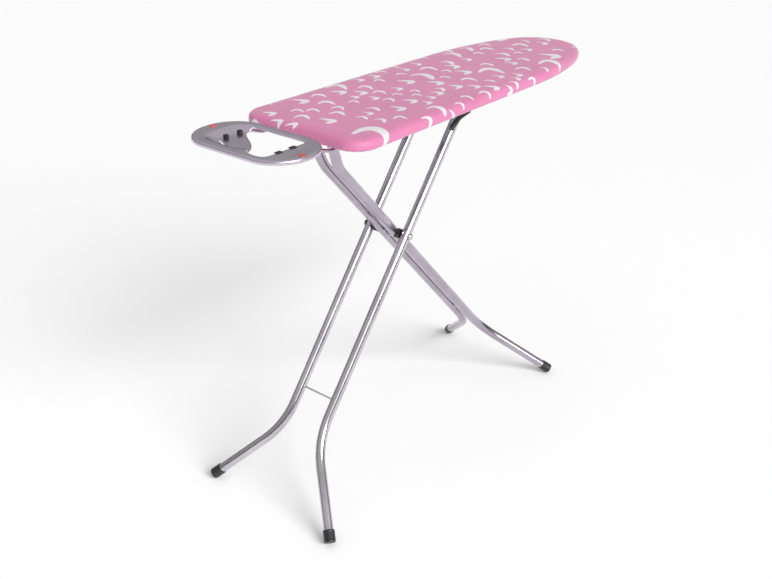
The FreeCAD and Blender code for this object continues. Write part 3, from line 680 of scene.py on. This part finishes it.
def smooth_loop(points, count):
    """Closed soft curve through the points, as even stations with normals pointing away from it."""
    points = np.array(points)
    dense = []
    for i in range(len(points)):
        p0, p1, p2, p3 = (points[(i + k) % len(points)] for k in (-1, 0, 1, 2))
        reach = np.linalg.norm(p2 - p1)
        start = (p2 - p0) / (np.linalg.norm(p1 - p0) + reach) * reach
        end = (p3 - p1) / (np.linalg.norm(p3 - p2) + reach) * reach
        for t in np.linspace(0, 1, 16, endpoint=False):
            ends = (2 * t ** 3 - 3 * t ** 2 + 1) * p1 + (3 * t ** 2 - 2 * t ** 3) * p2
            dense.append(ends + (t ** 3 - 2 * t ** 2 + t) * start + (t ** 3 - t ** 2) * end)
    dense = np.array(dense + dense[:1])
    gone = np.concatenate([[0], np.cumsum(np.linalg.norm(np.diff(dense, axis=0), axis=1))])
    places = np.linspace(0, gone[-1], count, endpoint=False)
    even = np.column_stack([np.interp(places, gone, dense[:, i]) for i in (0, 1)])
    along = np.roll(even, -1, axis=0) - np.roll(even, 1, axis=0)
    away = np.column_stack([along[:, 1], -along[:, 0]])
    return even, away / np.linalg.norm(away, axis=1)[:, None]


def outside_by(points, shape):
    """Distance outside a rounded rectangle, negative inside it."""
    x0, x1, y0, y1, radius = shape
    centre = np.array([(x0 + x1) / 2, (y0 + y1) / 2])
    half = np.array([(x1 - x0) / 2, (y1 - y0) / 2])
    past = np.abs(points - centre) - half + radius
    corner = np.linalg.norm(np.maximum(past, 0), axis=1)
    return corner + np.minimum(past.max(axis=1), 0) - radius


def tray_height(points):
    """Height of the pressed sheet: flat, with the dish sunk into the far half."""
    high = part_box("iron_tray")[1].z
    top = outside_by(points, DISH_TOP)
    floor = outside_by(points, DISH_FLOOR)
    share = np.clip(-top / np.maximum(floor - top, 1e-6), 0, 1)
    return high - DISH_DEPTH * share * share * (3 - 2 * share)


def slit_outline():
    x, y, width, length, turn = SLIT
    corners = np.array([(-width, -length), (width, -length), (width, length), (-width, length)]) / 2
    return corners @ turning(math.radians(turn)) + np.array([x, y])


def tray_edge():
    """Outline of the iron rest: even stations and outward normals."""
    low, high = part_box("iron_tray")
    arcs = []
    for x, y, start in ((high.x, high.y, 0), (low.x, high.y, 90), (low.x, low.y, 180), (high.x, low.y, 270)):
        cx = x - TRAY_CORNER_R if x == high.x else x + TRAY_CORNER_R
        cy = y - TRAY_CORNER_R if y == high.y else y + TRAY_CORNER_R
        arcs.append((cx, cy, TRAY_CORNER_R, math.radians(start), math.radians(start + 90)))
    return stations(arcs, TRAY_STEP)


def tray_grid(rim, mouth):
    """Even points over the sheet, clear of its rolled edge and of the opening's edge."""
    low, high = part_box("iron_tray")
    grid = []
    for x in np.arange(low.x, high.x, TRAY_GRID):
        grid += [(x, y) for y in np.arange(low.y, high.y, TRAY_GRID)]
    tree = flat_tree(np.vstack([rim, mouth]))
    grid = np.array([point for point in grid if tree.find((*point, 0))[2] > TRAY_CLEARANCE])
    inner = (low.x + TRAY_ROLL, high.x - TRAY_ROLL, low.y + TRAY_ROLL, high.y - TRAY_ROLL, TRAY_CORNER_R)
    return grid[outside_by(grid, inner) < -0.001]


def tray_sheet(rim, mouth):
    """The pressed sheet between its rolled edge, the opening and the slit: points and triangles."""
    outlines = (rim, mouth, slit_outline())
    ends = np.cumsum([0] + [len(outline) for outline in outlines])
    loops = [list(range(start, end)) for start, end in zip(ends, ends[1:])]
    flat, faces, rounds = triangulate(np.vstack([*outlines, tray_grid(rim, mouth)]), loops)
    kept = [face for face, inside in zip(faces, rounds) if list(inside) == [0]]
    return np.column_stack([flat, tray_height(flat)]), kept


def rolled_edge(edge, out):
    """Rings down the tray's rolled outer edge and round the bead at its foot."""
    low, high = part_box("iron_tray")
    rings = []
    for angle in np.linspace(0, 90, 6):
        turn = math.radians(angle)
        ring = edge - TRAY_ROLL * (1 - math.sin(turn)) * out
        rings.append(level_ring(ring, high.z - TRAY_ROLL * (1 - math.cos(turn))))
    for angle in np.linspace(0, 250, 9):
        turn = math.radians(angle)
        ring = edge - TRAY_BEAD * (1 - math.cos(turn)) * out
        rings.append(level_ring(ring, low.z + TRAY_BEAD * (1 - math.sin(turn))))
    return rings


def turned_lip(hole, away):
    """Rings down the lip turned round the opening."""
    base = tray_height(hole + LIP_ROLL * away)
    rings = []
    for angle in np.linspace(0, 90, 5):
        turn = math.radians(angle)
        ring = hole + LIP_ROLL * (1 - math.sin(turn)) * away
        rings.append(np.column_stack([ring, base - LIP_ROLL * (1 - math.cos(turn))]))
    foot = np.maximum(base - LIP_DROP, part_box("iron_tray")[0].z)
    return rings + [np.column_stack([hole, foot])]


def make_tray():
    """Iron rest pressed from one sheet: rolled outer edge, turned-down lip, sunken dish."""
    edge, out = tray_edge()
    hole, away = smooth_loop(OPENING, OPENING_STATIONS)
    sheet, faces = tray_sheet(edge - TRAY_ROLL * out, hole + LIP_ROLL * away)
    points = [sheet]
    total = len(sheet)
    for rings, flip in ((rolled_edge(edge, out), True), (turned_lip(hole, away), False)):
        count = len(rings[0])
        for k in range(len(rings) - 1):
            bridge(faces, total + k * count, total + (k + 1) * count, count, flip)
        points += rings
        total += count * len(rings)
    mesh = new_mesh("pressed_tray", np.vstack(points), faces)
    weld(mesh)
    tray = link_piece("pressed_tray", mesh, FINISH["tray_steel"], "board", "tray_steel", "iron_tray")
    gauge = tray.modifiers.new("gauge", "SOLIDIFY")
    gauge.thickness = TRAY_SHEET
    gauge.offset = -1


# ---- foot caps -------------------------------------------------------------
FOOT_DIRECTIONS = {"outer": Vector((-0.492, 0.602, -0.628)), "inner": Vector((0.540, 0.613, -0.577))}
CAP_R = 0.0145
CAP_LENGTH = 0.030
CAP_ROUND = 0.002
CAP_FLUTES = 18
CAP_FLUTE_DEPTH = 0.0006


def cap_profile():
    """Rings of the cap as radius, place along it and whether fluted: collar, wall, rounded end, recess."""
    wall = CAP_R - CAP_FLUTE_DEPTH
    profile = [(0.0126, 0.0, 0), (0.0138, 0.0, 0), (CAP_R, 0.0007, 0), (CAP_R, 0.0034, 0), (wall, 0.0044, 1)]
    profile += [(wall, place, 1) for place in np.linspace(0.007, 0.0255, 8)]
    profile += [(CAP_R, 0.0268, 0)]
    for angle in np.linspace(0, 90, 5):
        turn = math.radians(angle)
        inset = CAP_ROUND * (1 - math.cos(turn))
        profile.append((CAP_R - inset, CAP_LENGTH - CAP_ROUND * (1 - math.sin(turn)), 0))
    profile += [(0.0095, CAP_LENGTH, 0), (0.0088, CAP_LENGTH - 0.0007, 0), (0.003, CAP_LENGTH - 0.0007, 0)]
    return profile


def make_foot_cap(leg, side):
    """Black foot cap with fine flutes round its wall and a shallow recess in its end."""
    node = f"{leg}_foot_{side}"
    axis = FOOT_DIRECTIONS[leg].normalized()
    middle = sum(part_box(node), Vector()) / 2
    if middle.y < 0:
        axis = Vector((axis.x, -axis.y, axis.z))
    right = axis.cross(Vector((0, 0, 1))).normalized()
    up = right.cross(axis)
    start = middle - axis * CAP_LENGTH / 2
    turns = 4 * CAP_FLUTES
    profile = cap_profile()
    points, faces = [], []
    for radius, place, fluted in profile:
        for angle in np.linspace(0, 2 * math.pi, turns, endpoint=False):
            swell = CAP_FLUTE_DEPTH * fluted * (0.5 + 0.5 * math.cos(CAP_FLUTES * angle))
            spoke = math.cos(angle) * right + math.sin(angle) * up
            points.append(start + axis * place + spoke * (radius + swell))
    last = len(profile) - 1
    for row in range(last):
        bridge(faces, row * turns, (row + 1) * turns, turns)
    faces.append(tuple(range(last * turns, (last + 1) * turns)))
    mesh = new_mesh(f"foot_cap_{leg}_{side}", points, faces)
    weld(mesh)
    link_piece(mesh.name, mesh, FINISH["black_plastic"], f"{leg}_leg", "black_plastic", node)


def make_foot_caps():
    for leg in ("outer", "inner"):
        for side in ("left", "right"):
            make_foot_cap(leg, side)


# ---- studio ----------------------------------------------------------------
FLOOR_HALF = 75.0
CAMERA_PLACE = (-1.9235, -1.4892, 1.6431)
CAMERA_YAW = math.radians(39.87)
CAMERA_PITCH = math.radians(27.24)


def make_floor():
    corners = [(x * FLOOR_HALF, y * FLOOR_HALF, 0) for x, y in ((-1, -1), (1, -1), (1, 1), (-1, 1))]
    mesh = new_mesh("studio_floor", corners, [(0, 1, 2, 3)])
    floor = bpy.data.objects.new("studio_floor", mesh)
    bpy.context.scene.collection.objects.link(floor)
    s = Shader("studio_floor")
    s.set(Base_Color=(0.97, 0.97, 0.97, 1), Roughness=0.9)
    s.surface.inputs["Specular IOR Level"].default_value = 0.1
    paint(floor, s.material)


def area_light(name, place, aim, width, height, power):
    light = bpy.data.lights.new(name, "AREA")
    light.shape = "RECTANGLE"
    light.size = width
    light.size_y = height
    light.energy = power
    lamp = bpy.data.objects.new(name, light)
    lamp.location = place
    lamp.rotation_euler = (Vector(aim) - Vector(place)).to_track_quat("-Z", "Y").to_euler()
    bpy.context.scene.collection.objects.link(lamp)


def sun_light(place, power, softness):
    """Distant soft light shining from place towards the origin."""
    light = bpy.data.lights.new("sun", "SUN")
    light.energy = power
    light.angle = math.radians(softness)
    lamp = bpy.data.objects.new("sun", light)
    lamp.rotation_euler = (-Vector(place)).to_track_quat("-Z", "Y").to_euler()
    bpy.context.scene.collection.objects.link(lamp)


def studio_world():
    """Pale dome, dark at the horizon for bright metal to mirror, with a pale wall behind the object."""
    world = bpy.data.worlds.new("studio")
    world.use_nodes = True
    tree = world.node_tree
    where = tree.nodes.new("ShaderNodeTexCoord")
    split = tree.nodes.new("ShaderNodeSeparateXYZ")
    ramp = tree.nodes.new("ShaderNodeValToRGB")
    tree.links.new(where.outputs["Generated"], split.inputs[0])
    tree.links.new(split.outputs["Z"], ramp.inputs["Fac"])
    tree.links.new(ramp.outputs["Color"], tree.nodes["Background"].inputs["Color"])
    ramp.color_ramp.elements[0].position = 0.02
    ramp.color_ramp.elements[0].color = (0.10, 0.10, 0.11, 1)
    ramp.color_ramp.elements[1].position = 0.55
    ramp.color_ramp.elements[1].color = (1, 1, 1, 1)
    tree.nodes["Background"].inputs["Strength"].default_value = 0.6
    backdrop = tree.nodes.new("ShaderNodeBackground")
    backdrop.inputs["Color"].default_value = (0.97, 0.97, 0.97, 1)
    rays = tree.nodes.new("ShaderNodeLightPath")
    either = tree.nodes.new("ShaderNodeMixShader")
    tree.links.new(rays.outputs["Is Camera Ray"], either.inputs["Fac"])
    tree.links.new(tree.nodes["Background"].outputs[0], either.inputs[1])
    tree.links.new(backdrop.outputs[0], either.inputs[2])
    tree.links.new(either.outputs[0], tree.nodes["World Output"].inputs["Surface"])
    bpy.context.scene.world = world


def make_lights():
    studio_world()
    sun_light((-0.1, -1.0, 0.62), 2.75, 35)
    area_light("softbox", (-2.2, -2.4, 2.2), (0, 0, 0.6), 1.2, 1.8, 12)
    bpy.context.scene.view_settings.view_transform = "Standard"


def make_camera():
    """Long lens at eye height, in front of the iron rest's near corner."""
    camera = bpy.data.cameras.new("camera")
    camera.lens = 45.95
    camera.sensor_width = 36
    eye = bpy.data.objects.new("camera", camera)
    level = math.cos(CAMERA_PITCH)
    forward = Vector((math.cos(CAMERA_YAW) * level, math.sin(CAMERA_YAW) * level, -math.sin(CAMERA_PITCH)))
    eye.location = CAMERA_PLACE
    eye.rotation_euler = forward.to_track_quat("-Z", "Y").to_euler()
    bpy.context.scene.collection.objects.link(eye)
    bpy.context.scene.camera = eye


make_camera()
make_lights()
make_floor()
paint_cad_nodes()
make_foam()
make_cover()
make_tray()
make_foot_caps()
